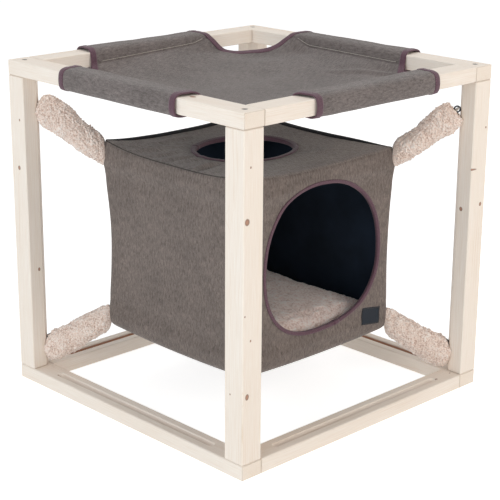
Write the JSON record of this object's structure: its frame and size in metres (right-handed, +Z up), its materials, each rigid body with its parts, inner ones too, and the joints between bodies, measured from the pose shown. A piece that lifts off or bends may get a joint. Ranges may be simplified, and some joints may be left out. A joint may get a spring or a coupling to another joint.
{
  "type": "cat hammock",
  "caption": "Pine cube frame with a sagging cloth bed sewn round its top rails and a cloth house with a round entrance hung inside on plush-covered elastic arms.",
  "frame": {"origin": "on the floor, at the middle of the base", "axes": "+Z up, the house's round entrance faces -Y, +X to the right seen from the entrance"},
  "size_m": [0.5104, 0.5104, 0.5052],
  "materials": {
    "pine": "planed, unfinished",
    "zinc_screw": "zinc plated",
    "steel_eye": "bright",
    "elastic_cord": "woven",
    "beige_plush": "long pile",
    "sheet_cloth": "marled weave",
    "house_cloth": "marled weave",
    "dark_lining": "matt weave",
    "plum_tape": "bias tape",
    "black_piping": "matt",
    "bare_label": "woven, bare",
    "cushion_plush": "short pile"
  },
  "bodies": {
    "frame": {"base_rail_left": "pine", "base_rail_right": "pine", "base_rail_front": "pine", "base_rail_rear": "pine", "top_rail_left": "pine", "top_rail_right": "pine", "top_rail_front": "pine", "top_rail_rear": "pine", "post_front_left": "pine", "post_front_right": "pine", "post_rear_left": "pine", "post_rear_right": "pine", "top_screw_front_left": "zinc_screw", "top_screw_front_right": "zinc_screw", "top_screw_rear_left": "zinc_screw", "top_screw_rear_right": "zinc_screw", "base_screw_front_left": "zinc_screw", "base_screw_front_right": "zinc_screw", "base_screw_rear_left": "zinc_screw", "base_screw_rear_right": "zinc_screw", "upper_eye_front_left": "steel_eye", "upper_eye_front_right": "steel_eye", "upper_eye_rear_left": "steel_eye", "upper_eye_rear_right": "steel_eye", "lower_eye_front_left": "steel_eye", "lower_eye_front_right": "steel_eye", "lower_eye_rear_left": "steel_eye", "lower_eye_rear_right": "steel_eye", "hammock_sheet": "sheet_cloth", "hammock_binding_front_left": "plum_tape", "hammock_binding_front_right": "plum_tape", "hammock_binding_rear_left": "plum_tape", "hammock_binding_rear_right": "plum_tape"},
    "house": {"house_shell": "house_cloth", "house_lining": "dark_lining", "entrance_binding": "plum_tape", "roof_binding": "plum_tape", "roof_piping": "black_piping", "house_label": "bare_label", "upper_cord_front_left": "elastic_cord", "upper_cord_front_right": "elastic_cord", "upper_cord_rear_left": "elastic_cord", "upper_cord_rear_right": "elastic_cord", "lower_cord_front_left": "elastic_cord", "lower_cord_front_right": "elastic_cord", "lower_cord_rear_left": "elastic_cord", "lower_cord_rear_right": "elastic_cord", "upper_arm_front_left": "beige_plush", "upper_arm_front_right": "beige_plush", "upper_arm_rear_left": "beige_plush", "upper_arm_rear_right": "beige_plush", "lower_arm_front_left": "beige_plush", "lower_arm_front_right": "beige_plush", "lower_arm_rear_left": "beige_plush", "lower_arm_rear_right": "beige_plush"},
    "cushion": {"cushion": "cushion_plush"}
  },
  "joints": [
    {"name": "house_sway", "type": "hinge", "parent": "frame", "child": "house", "pos_m": [0, 0, 0.433], "axis": [1, 0, 0], "range_deg": [-4, 4], "stiffness_Nm_per_rad": 20, "deforming": ["upper_cord_front_left", "upper_cord_front_right", "upper_cord_rear_left", "upper_cord_rear_right", "lower_cord_front_left", "lower_cord_front_right", "lower_cord_rear_left", "lower_cord_rear_right", "upper_arm_front_left", "upper_arm_front_right", "upper_arm_rear_left", "upper_arm_rear_right", "lower_arm_front_left", "lower_arm_front_right", "lower_arm_rear_left", "lower_arm_rear_right"]},
    {"name": "cushion_lift", "type": "slide", "parent": "house", "child": "cushion", "axis": [0, 0, 1], "range_m": [0, 0.1]}
  ]
}
